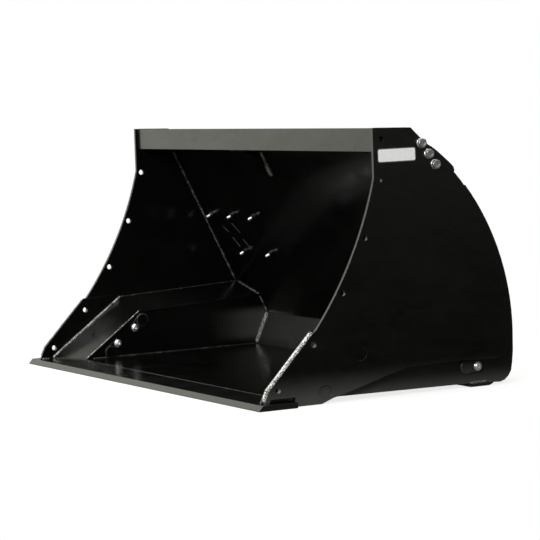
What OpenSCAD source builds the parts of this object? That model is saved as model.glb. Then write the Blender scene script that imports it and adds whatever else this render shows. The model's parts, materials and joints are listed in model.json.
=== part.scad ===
// Skid steer high-tip bucket: a bucket shell that rolls forward about two low
// pivot pins on a static rear frame, pushed by two cylinders that lie in
// tunnels in the lower corners of the shell.
// +X is the right-hand side seen from the open mouth, +Y runs to the rear,
// +Z is up, the ground is Z = 0.

/* [Shell] */
// Half width over the outer faces of the side plates
half_w = 1000; // [990:1:1010]
// Thickness of the side plates
side_t = 12; // [10:0.5:14]
// Thickness of the liner plate on the inside of each side plate
liner_t = 8; // [6:0.5:8]
// Thickness of floor, back and tunnel sheets
sheet_t = 8; // [6:0.5:8]
// Half length of the cutting edge
edge_half = 1035; // [1025:1:1040]
// Depth of the cutting edge, front to back
edge_d = 150; // [140:1:150]
// Thickness of the cutting edge
edge_t = 20; // [18:0.5:20]

/* [Tunnels] */
// Distance from the centre plane to the inner face of the tunnel wall
tun_x = 828; // [820:1:832]
// Fall of the tunnel roof towards the middle, per millimetre
roof_fall = 0.33; // [0.31:0.005:0.35]

/* [Side plate holes] */
// Diameter of the side-cutter bolt holes
cut_d = 21; // [18:0.5:22]

/* [Pivots] */
// Diameter of the pivot, rod and base pins
pin_d = 48; // [44:0.5:48]
// Running clearance on the radius at each moving pin
pin_c = 0.1; // [0.05:0.01:0.1]
// Distance from a pin axis to its keeper bolt
keep_r = 45; // [44:0.5:46]

/* [Cylinders] */
// Outside diameter of the cylinder barrel
bar_d = 70; // [66:1:72]
// Bore of the cylinder barrel
bar_b = 56; // [52:1:58]
// Diameter of the piston rod
rod_d = 32; // [28:1:36]

/* [Rear frame] */
// Thickness of the outer arm plates
arm_o = 15; // [12:0.5:15]
// Thickness of the inner arm plates
arm_i = 12; // [10:0.5:12]
// Width of the quick-attach plate
qa_w = 1140; // [1120:5:1150]
// Height of the quick-attach plate
qa_h = 420; // [410:5:430]
// Lean of the quick-attach plate from upright, in degrees
qa_a = 20; // [19:0.5:21]

/* [Hidden] */
$fn = 72;

pr = pin_d / 2;                     // pin radius
xo = half_w;                        // outer face of side plate
xi = half_w - side_t;               // inner face of side plate
xl = xi - liner_t;                  // inner face of liner
tw = tun_x + sheet_t;               // cavity face of tunnel wall
cx = 907;                           // middle of a cylinder
ao1 = 975; ao0 = ao1 - arm_o;       // outer arm plate
ai0 = 842; ai1 = ai0 + arm_i;       // inner arm plate

// Pivots, as [y, z] measured from the foot of the side plate's front edge
A = [252, 40];                      // bucket pivot
B = [396, 161];                     // rod pin
C = [838, 74];                      // cylinder base pin
ca = atan2(B[1] - C[1], C[0] - B[0]);           // rise of the cylinder, closed
cl = norm(B - C);                   // pin to pin, closed

// Back plate: inner face runs top -> heel -> toe
bt = [644, 848]; bh = [978, 147]; bf = [918, 20];
m1 = (bh[0] - bt[0]) / (bt[1] - bh[1]);         // lean of the back plate
m2 = (bh[0] - bf[0]) / (bh[1] - bf[1]);         // lean of the heel plate
k1 = sqrt(1 + m1 * m1); k2 = sqrt(1 + m2 * m2);
ba = 90 + atan(m1);
function yb(z) = bt[0] + m1 * (bt[1] - z);      // inner face of the back plate
function yo(z) = yb(z) + sheet_t * k1;          // outer face of the back plate
function yh(z) = bf[0] + m2 * (z - bf[1]);      // inner face of the heel plate
zc = (yo(0) - (yh(0) + sheet_t * k2)) / (m1 + m2);   // outer corner of the heel

// Tunnel sheets, z as a plane in y and |x|
function zr(y, x) = edge_t + 0.725 * (y - 51) - 0.3975 * (988 - x);  // ramp
function zf(y, x) = 252 + 0.0498 * (y - 371) - roof_fall * (988 - x); // roof
function yfoot(x, z) = 51 + (z - edge_t + 0.3975 * (988 - x)) / 0.725;
function yfold(x) = (252 - 0.0498 * 371 - roof_fall * (988 - x) - edge_t + 0.725 * 51
    + 0.3975 * (988 - x)) / (0.725 - 0.0498);
function yend(x, d) = (bt[0] + m1 * (bt[1] + d - 252 + 0.0498 * 371 + roof_fall * (988 - x)))
    / (1 + 0.0498 * m1);

tv = sheet_t * 1.24; tf = sheet_t * 1.06;       // upright thickness of the ramp and of the roof
// One cross-section of the ramp and roof, upper and lower point of the foot, fold and rear end
function station(x) = [[x, yfoot(x, edge_t), edge_t], [x, yfoot(x, edge_t + tv), edge_t],
  [x, yfold(x), zf(yfold(x), x)], [x, yfold(x) + (tv - tf) / 0.6752, zf(yfold(x) + (tv - tf) / 0.6752, x) - tf],
  [x, yend(x, 0), zf(yend(x, 0), x)], [x, yend(x, tf), zf(yend(x, tf), x) - tf]];

// Quick-attach plane: foot of its rear face
q0 = [1030, 230];
oy = (q0[0] + 70 * cos(qa_a) - 25) / 2;         // middle of the footprint
function arcp(c, r, a0, a1, n) = [for (i = [0:n]) c + r * [cos(a0 + (a1 - a0) * i / n), sin(a0 + (a1 - a0) * i / n)]];

// Side-cutter bolt holes, [y, z]
CUT = [[510, 899], [498, 759], [430, 561], [334, 376], [213, 207], [68, 62]];
// Stop bracket bolts, [y, z]
SB = [[670.5, 878.5], [699.5, 839.5], [725, 801.5]];
// Buffer bolts on the back plate, [|x|, z]
BB = [[904, 571], [714, 571], [524, 570], [755, 416], [523, 416]];

module at0() translate([0, -oy, 0]) children();
module sd(s) mirror([s < 0 ? 1 : 0, 0, 0]) children();
// A [y, z] outline drawn from x0 to x1
module yz(x0, x1) translate([x0, 0, 0]) rotate([90, 0, 90]) linear_extrude(x1 - x0) children();
module xcyl(x0, x1, p, r) translate([x0, p[0], p[1]]) rotate([0, 90, 0]) cylinder(r = r, h = x1 - x0);
module disc2(p, r) translate(p) circle(r = r);
// On the inner face of the back plate, local +Z into the mouth, local +Y up the plate
module onback(x, z) translate([x, yb(z), z]) rotate([ba, 0, 0]) children();
module hexbolt(r, af, h, l) { cylinder(r = af / sqrt(3), h = h, $fn = 6); translate([0, 0, -l]) cylinder(r = r, h = l + h / 2); }
module washer(r, ro, h) difference() { cylinder(r = ro, h = h); translate([0, 0, -1]) cylinder(r = r + 0.3, h = h + 2); }
module hexnut(r, af, h) difference() { cylinder(r = af / sqrt(3), h = h, $fn = 6); translate([0, 0, -1]) cylinder(r = r + 0.1, h = h + 2); }
// Button head screw, head towards +Z
module button(l) {
  difference() {
    rotate_extrude() polygon([[0, 0], [14.5, 0], [14.5, 2], [13.4, 4.6], [11, 7], [7.5, 8.6], [0, 8.8]]);
    translate([0, 0, 3.6]) cylinder(r = 5.8, h = 8, $fn = 6);
  }
  translate([0, 0, -l]) cylinder(r = 8, h = l + 1);
}

// ---- bucket shell ----
module side_outline() polygon(concat(
  [[478, 940], [631, 935], [683, 884], [731, 839], [781, 787], [807, 765], [832, 735], [846, 714]],
  [for (p = arcp([92.5, 203.4], 905.1, 31, 15.15, 10)) p],
  [[974, 407], [984.5, 355], [992, 302], [997, 250], [1000.5, 200], [1001.5, 165], [998, 137], [985, 108], [962, 98.5], [927, 97.5],
   [808, 103], [700, 101.5], [579, 97], [500, 76], [350, 34],
   [282, 17], [252, 6], [236, 0], [142, 0], [136, 4], [136, 33], [38, 33], [33, edge_t], [15, edge_t], [33, 61], [215, 249.5]],
  [for (p = arcp([-868.5, 1113.3], 1389.2, -38.05, -14.5, 24)) p]));
module side_plate(s) color("#1c1c1b") at0() sd(s) difference() {
  yz(xi, xo) side_outline();
  for (h = CUT) xcyl(xi - 1, xo + 1, h, cut_d / 2);
  for (h = SB) xcyl(xi - 1, xo + 1, h, 10.5);
  xcyl(xi - 1, xo + 1, A, pr + 0.5);
  xcyl(xi - 1, xo + 1, B, pr + 0.5);
}
module side_liner(s) color("#232322") at0() sd(s) difference() {
  yz(xl, xi) polygon([[4, edge_t], [26, 66], [207, 254], [371, 258], [905, 281], [905, 104], [808, 104], [700, 102.5], [579, 98],
    [500, 77], [350, 35], [282, 18], [252, 7], [236, 4], [136, 4], [136, edge_t]]);
  for (h = [CUT[4], CUT[5]]) xcyl(xl - 1, xi + 1, h, cut_d / 2);
  xcyl(xl - 1, xi + 1, A, pr + 0.5);
  xcyl(xl - 1, xi + 1, B, pr + 0.5);
}
module floor_plate() color("#262625") at0() {
  yz(-tun_x, tun_x) polygon([[edge_d - 25, edge_t - sheet_t], [edge_d - 25, edge_t], [yh(edge_t), edge_t], [yh(edge_t - sheet_t), edge_t - sheet_t]]);
  for (s = [-1, 1]) sd(s) yz(tun_x, xl) translate([edge_d - 25, edge_t - sheet_t]) square([31, sheet_t]);
}
module back_plate() color("#1f1f1e") at0() difference() {
  union() {
    yz(-tun_x, tun_x) polygon([bt, bh, [yh(edge_t - sheet_t), edge_t - sheet_t], [yh(edge_t - sheet_t) + sheet_t * k2, edge_t - sheet_t],
      [yh(zc) + sheet_t * k2, zc], [yo(bt[1] + 3.4), bt[1] + 3.4]]);
    yz(-xi, xi) polygon([bt, [yb(218), 218], [yo(218), 218], [yo(bt[1] + 3.4), bt[1] + 3.4]]);
  }
  for (s = [-1, 1]) sd(s) for (b = BB) onback(b[0], b[1]) translate([0, 0, -sheet_t - 5]) cylinder(r = 6.5, h = sheet_t + 10);
}
// Box beam with end plates; a weep hole near the low rear corner of each
module top_beam() color("#2b2b2a") at0() difference() {
  yz(-xi, xi) polygon([[489, 857], bt, [yo(bt[1] + 3.4), bt[1] + 3.4], [655, 864], [626, 933], [489, 938]]);
  yz(6 - xi, xi - 6) polygon([[495, 862.7], [645.5, 854], [648.6, 864], [621.6, 927.2], [495, 931.8]]);
  for (s = [-1, 1]) sd(s) xcyl(xi - 7, xi + 1, [630, 868], 5);
}
module lip_gusset() color("#1f1f1e") at0() yz(-193, -183) polygon(concat(
  [[643.6, 848.02], [516, 855.3]],
  [for (t = [0.1:0.1:0.95]) [516 + (yb(742) - 516) * t + 24 * sin(180 * t), 855.3 - 113.3 * t + 22 * sin(180 * t)]],
  [[yb(742), 742]]));
module cutting_edge() color("#3a3a38") at0() yz(-edge_half, edge_half)
  polygon([[-25, 0], [edge_d - 25, 0], [edge_d - 25, edge_t], [-10, edge_t], [-25, 3]]);
module wear_strips() color("#2a2a29") at0() for (x = [-600, -200, 200, 600])
  translate([x - 40, edge_d - 20, 0]) cube([80, 750, edge_t - sheet_t]);
module tunnel_cover(s) color("#2e2e2c") at0() sd(s) {
  polyhedron(points = concat(station(tun_x - 4), station(xl)), faces = [
    [0, 2, 3, 1], [2, 4, 5, 3], [7, 9, 8, 6], [9, 11, 10, 8],
    [6, 8, 2, 0], [8, 10, 4, 2], [1, 3, 9, 7], [3, 5, 11, 9], [0, 1, 7, 6], [5, 4, 10, 11]]);
}
module tunnel_wall(s) color("#1d1d1c") at0() sd(s) {
  x = tun_x - 0.5;
  difference() {
    yz(tun_x, tw) polygon([[157, 2], [157, zr(157, x) - tv - 0.2], [yfold(x) + 2, zf(yfold(x), x) - tf - 1.2], [yend(x, tf) - 1, zf(yend(x, tf), x) - tf - 0.6],
      [yb(218) - 1, 217.5], [yo(217.5), 217.5], [yh(zc) + sheet_t * k2, zc], [yh(12) + sheet_t * k2, 12], [912, 2]]);
    xcyl(tun_x - 1, tw + 1, A, pr + 0.5);
    xcyl(tun_x - 1, tw + 1, B, pr + 0.5);
    for (q = KB) xcyl(tun_x - 1, tw + 1, q, 8.1);
  }
}
// ---- pins of the bucket ----
KA = A + keep_r * [cos(48), sin(48)];
KP = B + keep_r * [cos(221.5), sin(221.5)];
KB = [KA, KP];
module flag2(p, r0, q, r1) {
  d = (q - p) / norm(q - p); n = [-d[1], d[0]];
  disc2(p, r0); disc2(q, r1);
  polygon([p + n * r0 * 0.985 + d * r0 * 0.17, q + n * r1 * 0.985 + d * r1 * 0.17, q - n * r1 * 0.985 + d * r1 * 0.17, p - n * r0 * 0.985 + d * r0 * 0.17]);
}
module pivot_pin(s) color("#8b8d8c") at0() sd(s) {
  xcyl(tun_x, xo - 4, A, pr);
  difference() {
    union() {
      xcyl(tun_x - 8, tun_x + 1, A, pr);
      yz(tun_x - 6, tun_x) flag2(A, pr + 4, KA, 17);
    }
    xcyl(tun_x - 8, tun_x + 1, KA, 8.5);
    translate([tun_x - 20, A[0] - 60, -40]) cube([20, 120, edge_t + 40.3]);
  }
}
module rod_pin_ends(s) color("#8b8d8c") at0() sd(s) {
  xcyl(tun_x - 8, tw, B, pr);
  difference() {
    yz(tun_x - 6, tun_x) flag2(B, pr + 4, KP, 17);
    xcyl(tun_x - 8, tun_x + 1, KP, 8.5);
  }
  xcyl(xl, xo - 4, B, pr);
}
module pin_keeper_bolts() color("#c9ccce") at0() for (s = [-1, 1]) sd(s) for (q = KB)
  translate([tun_x - 6, q[0], q[1]]) rotate([0, -90, 0]) button(15.5);
// ---- stop brackets and buffers ----
module stop_bracket(s) color("#1f1f1e") at0() sd(s) {
  difference() {
    yz(xi - 12, xi) polygon([[656, 884], [667, 896], [683, 884], [697, 878], [722, 863], [744, 847], [776, 819], [790, 807], [808, 789], [811.5, 776], [808.5, 766],
      [803, 736], [722, 736], [688, 812], [660, 858]]);
    for (h = SB) xcyl(xi - 14, xi + 1, h, 10.5);
  }
  yz(898, xi - 12) translate([738, 736]) square([56, 16]);
}
module stop_bolts() color("#c9ccce") at0() for (s = [-1, 1]) sd(s) for (h = SB) translate([xo, h[0], h[1]]) rotate([0, 90, 0]) {
  washer(10, 18, 3);
  translate([0, 0, 3]) rotate([0, 0, h[0]]) hexbolt(10, 30, 12.5, 52);
}
module stop_nuts() color("#c9ccce") at0() for (s = [-1, 1]) sd(s) for (h = SB) translate([xi - 12, h[0], h[1]]) rotate([0, -90, 0]) {
  washer(10, 18, 3);
  translate([0, 0, 3]) hexnut(10, 30, 16);
}
module buffer_pad(s) color("#111111") at0() sd(s) difference() {
  onback(714, 493.5) translate([-218, -106, -sheet_t - 20.05]) cube([436, 212, 20]);
  for (b = BB) onback(b[0], b[1]) { translate([0, 0, -sheet_t - 30]) cylinder(r = 6.5, h = 40); translate([0, 0, -sheet_t - 30]) cylinder(r = 14, h = 20); }
}
// Heads in the recesses of the pads, nuts and bolt ends in the mouth
module buffer_bolts() color("#c9ccce") at0() for (s = [-1, 1]) sd(s) for (b = BB) onback(b[0], b[1]) translate([0, 0, -sheet_t - 10.05])
  rotate([180, 0, 0]) { hexbolt(6, 18, 7.5, 46); }
module buffer_nuts() color("#c9ccce") at0() for (s = [-1, 1]) sd(s) for (b = BB) onback(b[0], b[1]) {
  washer(6, 12, 2.5);
  translate([0, 0, 2.5]) hexnut(6, 18, 10.5);
}
// ---- rear frame ----
module arm_outline() {
  disc2(A, 36);
  polygon(concat([[244, 14], [262, 9], [284, 17], [789, 12], [950, 12], [953, 9], [978, 7], [998, 13], [1015, 27], [1027, 46], [1033, 80], [1037, 115]],
    [for (p = arcp([176.5, 196.7], 862.6, -3, 37.4, 16)) p], [[yo(722) + 24, 722], [yo(240) + 24, 240], [968, 226], [962, 200], [926, 150], [886, 120],
    [370, 120], [330, 104], [268, 72]]));
}
module arm_outer(s) color("#222221") at0() sd(s) difference() {
  yz(ao0, ao1) arm_outline();
  xcyl(ao0 - 1, ao1 + 1, A, pr + pin_c);
  xcyl(ao0 - 1, ao1 + 1, C, pr + 0.05);
  xcyl(ao0 - 1, ao1 + 1, KC, 8.1);
}
module arm_inner(s) color("#222221") at0() sd(s) difference() {
  yz(ai0, ai1) arm_outline();
  xcyl(ai0 - 1, ai1 + 1, A, pr + pin_c);
  xcyl(ai0 - 1, ai1 + 1, C, pr + 0.05);
}
// Plates that box the arm in: under the cylinder and up the rear
module arm_web(s) color("#1d1d1c") at0() sd(s) {
  yz(ai1, ao0) translate([330, 18]) square([510, 8]);
  yz(ai1, ao0) polygon(concat([for (p = arcp([176.5, 196.7], 854.6, 25.5, -7.5, 12)) p], [for (p = arcp([176.5, 196.7], 846.6, -7.5, 25.5, 12)) p]));
}
module pivot_tube(s) color("#3a3a39") at0() sd(s) difference() {
  xcyl(ai1, ao0, A, 34);
  xcyl(ai1 - 1, ao0 + 1, A, pr + pin_c);
}
KC = C + keep_r * [cos(-2.5), sin(-2.5)];
module base_pin(s) color("#8b8d8c") at0() sd(s) {
  xcyl(ai0 - 3, ao1 + 8, C, pr);
  difference() {
    yz(ao1, ao1 + 5) flag2(C, pr + 3, KC, 16);
    xcyl(ao1 - 1, ao1 + 6, KC, 8.5);
  }
}
module base_pin_bolts() color("#c9ccce") at0() for (s = [-1, 1]) sd(s)
  translate([ao1 + 5, KC[0], KC[1]]) rotate([0, 90, 0]) button(18);
module skid_shoe(s) color("#2c2c2b") at0() sd(s) yz(ai0, ao1 + 9) polygon([[842, 12], [849, 0], [927, 0], [940, 5], [949, 12]]);
module frame_cap(s) color("#222221") at0() sd(s) yz(ai0, ao1)
  polygon([[yo(722) + 20, 722], [856, 722], [842, 735.5], [yo(722) + 20, 735.5]]);
module lower_crossbeam() color("#222221") at0() yz(-ai0, ai0) difference() {
  translate([966, 14]) square([46, 58]);
  translate([972, 20]) square([34, 46]);
}
module upper_crossbeam() color("#222221") at0() yz(-ai0, ai0) difference() {
  translate([794, 606]) square([74, 74]);
  translate([800, 612]) square([62, 62]);
}
// Quick-attach outline frame: origin at the foot of the rear face, first axis rearwards, second up the plate
module qa2() translate(q0) rotate(qa_a) children();
module quick_attach_plate() color("#242423") at0() yz(-qa_w / 2, qa_w / 2) qa2() {
  translate([-12, 0]) square([12, qa_h]);
  polygon([[-12, qa_h], [0, qa_h - 12], [0, qa_h - 22], [33, qa_h - 55], [41.5, qa_h - 46.5], [0, qa_h - 5], [-5, qa_h]]);
}
module quick_attach_shelf() color("#242423") at0() difference() {
  yz(-qa_w / 2, qa_w / 2) qa2() polygon([[0, 0], [70, 0], [70, 14], [0, 14]]);
  for (x = [-420, 420]) translate([x, q0[0], q0[1]]) rotate([qa_a, 0, 0]) for (d = [-20, 20])
    translate([d, 36, -5]) { cylinder(r = 15, h = 30); translate([d > 0 ? -20 : 0, -15, 0]) cube([20, 30, 30]); }
}
function yq(z) = q0[0] - 12 / cos(qa_a) - (z - q0[1]) * tan(qa_a);   // front face of the quick-attach plate
module quick_attach_ribs() color("#222221") at0() for (x = [-558, -250, 250, 558]) yz(x - 6, x + 6)
  polygon([[974, 72], [999, 146], [988, 200], [959, 300], [913, 400], [853, 500], [804, 606], [868, 606], [868, 636],
    [yq(636), 636], [yq(236), 236], [1018, 226], [1026, 180], [1012, 72]]);
// ---- cylinders, drawn along local +Z from the base pin to the rod pin ----
module cyl(s) at0() sd(s) translate([cx, C[0], C[1]]) rotate([90 - ca, 0, 0]) children();
module barrel_tube(s) color("#20211f") cyl(s) {
  difference() {
    union() {
      rotate([0, 90, 0]) cylinder(r = 37, h = 84, center = true);
      translate([0, 0, 26]) cylinder(r = bar_d / 2, h = 360);
      for (z = [62, 368]) translate([0, 0, z]) rotate([-90, 0, 0]) cylinder(r = 12, h = 50);
    }
    rotate([0, 90, 0]) cylinder(r = pr + pin_c, h = 90, center = true);
    translate([0, 0, 48]) cylinder(r = bar_b / 2, h = 400);
    for (z = [62, 368]) translate([0, 0, z]) rotate([-90, 0, 0]) cylinder(r = 6, h = 60);
  }
}
module gland(s) color("#3b3c3a") cyl(s) difference() {
  union() {
    translate([0, 0, 386]) cylinder(r = bar_d / 2 + 2, h = 14);
    translate([0, 0, 378.5]) cylinder(r = bar_b / 2 - 0.1, h = 8);
  }
  translate([0, 0, 370]) cylinder(r = rod_d / 2 + 0.4, h = 40);
}
module piston(s) color("#a9abac") cyl(s) difference() {
  translate([0, 0, 72]) cylinder(r = bar_b / 2 - 0.5, h = 26);
  translate([0, 0, 60]) cylinder(r = 12.05, h = 50);
}
module rod(s) color("#c2c5c7") cyl(s) difference() {
  union() {
    translate([0, 0, 70]) cylinder(r = 12, h = 30);
    translate([0, 0, 98]) cylinder(r = rod_d / 2, h = cl - 98 - 26);
    translate([0, 0, cl]) rotate([0, 90, 0]) cylinder(r = 35, h = 60, center = true);
  }
  translate([0, 0, cl]) rotate([0, 90, 0]) cylinder(r = pr + 0.05, h = 70, center = true);
}
module rod_pin(s) color("#8b8d8c") at0() sd(s) xcyl(tw + 2, xl - 2, B, pr);

side_plate(-1);  // side_plate_left
side_plate(1);  // side_plate_right
side_liner(-1);  // side_liner_left
side_liner(1);  // side_liner_right
floor_plate();
back_plate();
top_beam();
lip_gusset();
cutting_edge();
wear_strips();
tunnel_cover(-1);  // tunnel_cover_left
tunnel_cover(1);  // tunnel_cover_right
tunnel_wall(-1);  // tunnel_wall_left
tunnel_wall(1);  // tunnel_wall_right
pivot_pin(-1);  // pivot_pin_left
pivot_pin(1);  // pivot_pin_right
rod_pin_ends(-1);  // rod_pin_ends_left
rod_pin_ends(1);  // rod_pin_ends_right
pin_keeper_bolts();
stop_bracket(-1);  // stop_bracket_left
stop_bracket(1);  // stop_bracket_right
stop_bolts();
stop_nuts();
buffer_pad(-1);  // buffer_pad_left
buffer_pad(1);  // buffer_pad_right
buffer_bolts();
buffer_nuts();
arm_outer(-1);  // arm_outer_left
arm_outer(1);  // arm_outer_right
arm_inner(-1);  // arm_inner_left
arm_inner(1);  // arm_inner_right
arm_web(-1);  // arm_web_left
arm_web(1);  // arm_web_right
pivot_tube(-1);  // pivot_tube_left
pivot_tube(1);  // pivot_tube_right
base_pin(-1);  // base_pin_left
base_pin(1);  // base_pin_right
base_pin_bolts();
skid_shoe(-1);  // skid_shoe_left
skid_shoe(1);  // skid_shoe_right
frame_cap(-1);  // frame_cap_left
frame_cap(1);  // frame_cap_right
lower_crossbeam();
upper_crossbeam();
quick_attach_plate();
quick_attach_shelf();
quick_attach_ribs();
barrel_tube(-1);  // barrel_tube_left
barrel_tube(1);  // barrel_tube_right
gland(-1);  // gland_left
gland(1);  // gland_right
piston(-1);  // piston_left
piston(1);  // piston_right
rod(-1);  // rod_left
rod(1);  // rod_right
rod_pin(-1);  // rod_pin_left
rod_pin(1);  // rod_pin_right
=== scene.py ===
import math
import json
import bmesh
import bpy
import numpy as np
from mathutils import Matrix, Vector, noise

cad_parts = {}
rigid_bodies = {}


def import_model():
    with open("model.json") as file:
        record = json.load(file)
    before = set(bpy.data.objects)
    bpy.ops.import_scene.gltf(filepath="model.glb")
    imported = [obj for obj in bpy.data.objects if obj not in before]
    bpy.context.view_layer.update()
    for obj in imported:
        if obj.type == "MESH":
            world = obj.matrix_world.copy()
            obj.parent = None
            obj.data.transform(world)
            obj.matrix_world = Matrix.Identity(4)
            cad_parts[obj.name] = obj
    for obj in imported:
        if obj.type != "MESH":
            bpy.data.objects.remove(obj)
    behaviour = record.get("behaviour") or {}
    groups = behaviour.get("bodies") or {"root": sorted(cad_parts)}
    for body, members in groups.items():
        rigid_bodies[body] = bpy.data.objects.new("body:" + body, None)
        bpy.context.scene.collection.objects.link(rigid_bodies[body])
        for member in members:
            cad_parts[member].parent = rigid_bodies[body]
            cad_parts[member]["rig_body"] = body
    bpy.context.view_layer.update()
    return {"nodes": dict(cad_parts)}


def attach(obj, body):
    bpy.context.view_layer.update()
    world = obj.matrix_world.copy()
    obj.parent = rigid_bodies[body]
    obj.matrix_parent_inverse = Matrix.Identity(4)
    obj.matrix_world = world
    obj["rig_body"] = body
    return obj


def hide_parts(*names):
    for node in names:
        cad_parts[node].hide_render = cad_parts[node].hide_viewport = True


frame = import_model()
N = frame["nodes"]
scene = bpy.context.scene
D2R = math.pi / 180

# ------------------------------------------------------------------ numbers shared with the part's source
OY = (1030 + 70 * math.cos(20 * D2R) - 25) / 2
A = (252.0, 40.0); B = (396.0, 161.0); C = (838.0, 74.0)
BT = (644.0, 848.0); BH = (978.0, 147.0); BF = (918.0, 20.0)
M1 = (BH[0] - BT[0]) / (BT[1] - BH[1])
M2 = (BH[0] - BF[0]) / (BH[1] - BF[1])
K1 = math.sqrt(1 + M1 * M1); K2 = math.sqrt(1 + M2 * M2)
QA = 20 * D2R
CA = math.atan2(B[1] - C[1], C[0] - B[0])
CL = math.hypot(B[0] - C[0], B[1] - C[1])
CUT = [(510, 899), (498, 759), (430, 561), (334, 376), (213, 207), (68, 62)]
SB = [(670.5, 878.5), (699.5, 839.5), (725, 801.5)]
BB = [(904, 571), (714, 571), (524, 570), (755, 416), (523, 416)]
KA = (A[0] + 45 * math.cos(48 * D2R), A[1] + 45 * math.sin(48 * D2R))
KP = (B[0] + 45 * math.cos(221.5 * D2R), B[1] + 45 * math.sin(221.5 * D2R))
KC = (C[0] + 45 * math.cos(-2.5 * D2R), C[1] + 45 * math.sin(-2.5 * D2R))


def yb(z): return BT[0] + M1 * (BT[1] - z)
def yo(z): return yb(z) + 8 * K1
def yh(z): return BF[0] + M2 * (z - BF[1])
def zr(y, x): return 20 + 0.725 * (y - 51) - 0.3975 * (988 - x)
def zf(y, x): return 252 + 0.0498 * (y - 371) - 0.33 * (988 - x)
def yfoot(x, z): return 51 + (z - 20 + 0.3975 * (988 - x)) / 0.725
def yfold(x): return (252 - 0.0498 * 371 - 0.33 * (988 - x) - 20 + 0.725 * 51 + 0.3975 * (988 - x)) / (0.725 - 0.0498)
def yend(x): return (BT[0] + M1 * (BT[1] - 252 + 0.0498 * 371 + 0.33 * (988 - x))) / (1 + 0.0498 * M1)


def P(x, y, z):
    """Millimetres from the foot of the side plate to the row frame in metres."""
    return Vector((x / 1000, (y - OY) / 1000, z / 1000))


def qa(x, n, t):
    """A point on the quick-attach plate: n behind its rear face, t up the plate."""
    return (x, 1030 + n * math.cos(QA) - t * math.sin(QA), 230 + n * math.sin(QA) + t * math.cos(QA))


# ------------------------------------------------------------------ node helpers
class Mat:
    """A small builder for node materials."""
    def __init__(self, name):
        self.m = bpy.data.materials.new(name)
        self.m.use_nodes = True
        self.t = self.m.node_tree
        self.t.nodes.clear()
        self.out = self.t.nodes.new("ShaderNodeOutputMaterial")
        self.b = self.t.nodes.new("ShaderNodeBsdfPrincipled")
        self.t.links.new(self.b.outputs[0], self.out.inputs[0])
        self.tc = self.t.nodes.new("ShaderNodeTexCoord")

    def set(self, **kw):
        for k, v in kw.items():
            self.b.inputs[k.replace("_", " ")].default_value = v
        return self

    def noise(self, scale, detail=3.0, rough=0.55, dist=0.0, vec=None):
        n = self.t.nodes.new("ShaderNodeTexNoise")
        n.inputs["Scale"].default_value = scale
        n.inputs["Detail"].default_value = detail
        n.inputs["Roughness"].default_value = rough
        n.inputs["Distortion"].default_value = dist
        self.t.links.new(vec or self.tc.outputs["Object"], n.inputs["Vector"])
        return n.outputs["Fac"]

    def stretch(self, sx, sy, sz):
        mp = self.t.nodes.new("ShaderNodeMapping")
        mp.inputs["Scale"].default_value = (sx, sy, sz)
        self.t.links.new(self.tc.outputs["Object"], mp.inputs["Vector"])
        return mp.outputs["Vector"]

    def range(self, src, a, b, lo, hi, kind="LINEAR"):
        r = self.t.nodes.new("ShaderNodeMapRange")
        r.interpolation_type = kind
        r.inputs["From Min"].default_value = a
        r.inputs["From Max"].default_value = b
        r.inputs["To Min"].default_value = lo
        r.inputs["To Max"].default_value = hi
        self.t.links.new(src, r.inputs["Value"])
        return r.outputs["Result"]

    def math(self, op, a, b=None):
        n = self.t.nodes.new("ShaderNodeMath")
        n.operation = op
        for i, v in enumerate((a, b)):
            if v is None:
                continue
            if isinstance(v, (int, float)):
                n.inputs[i].default_value = v
            else:
                self.t.links.new(v, n.inputs[i])
        return n.outputs[0]

    def mix(self, fac, c1, c2):
        n = self.t.nodes.new("ShaderNodeMix")
        n.data_type = "RGBA"
        if isinstance(fac, (int, float)):
            n.inputs["Factor"].default_value = fac
        else:
            self.t.links.new(fac, n.inputs["Factor"])
        for key, v in (("A", c1), ("B", c2)):
            s = [i for i in n.inputs if i.name == key and i.type == "RGBA"][0]
            if isinstance(v, tuple):
                s.default_value = (*v, 1) if len(v) == 3 else v
            else:
                self.t.links.new(v, s)
        return [o for o in n.outputs if o.type == "RGBA"][0]

    def bump(self, height, strength, distance, normal=None):
        n = self.t.nodes.new("ShaderNodeBump")
        n.inputs["Strength"].default_value = strength
        n.inputs["Distance"].default_value = distance
        self.t.links.new(height, n.inputs["Height"])
        if normal is not None:
            self.t.links.new(normal, n.inputs["Normal"])
        return n.outputs["Normal"]

    def to(self, socket, src):
        self.t.links.new(src, self.b.inputs[socket])
        return self


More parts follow.
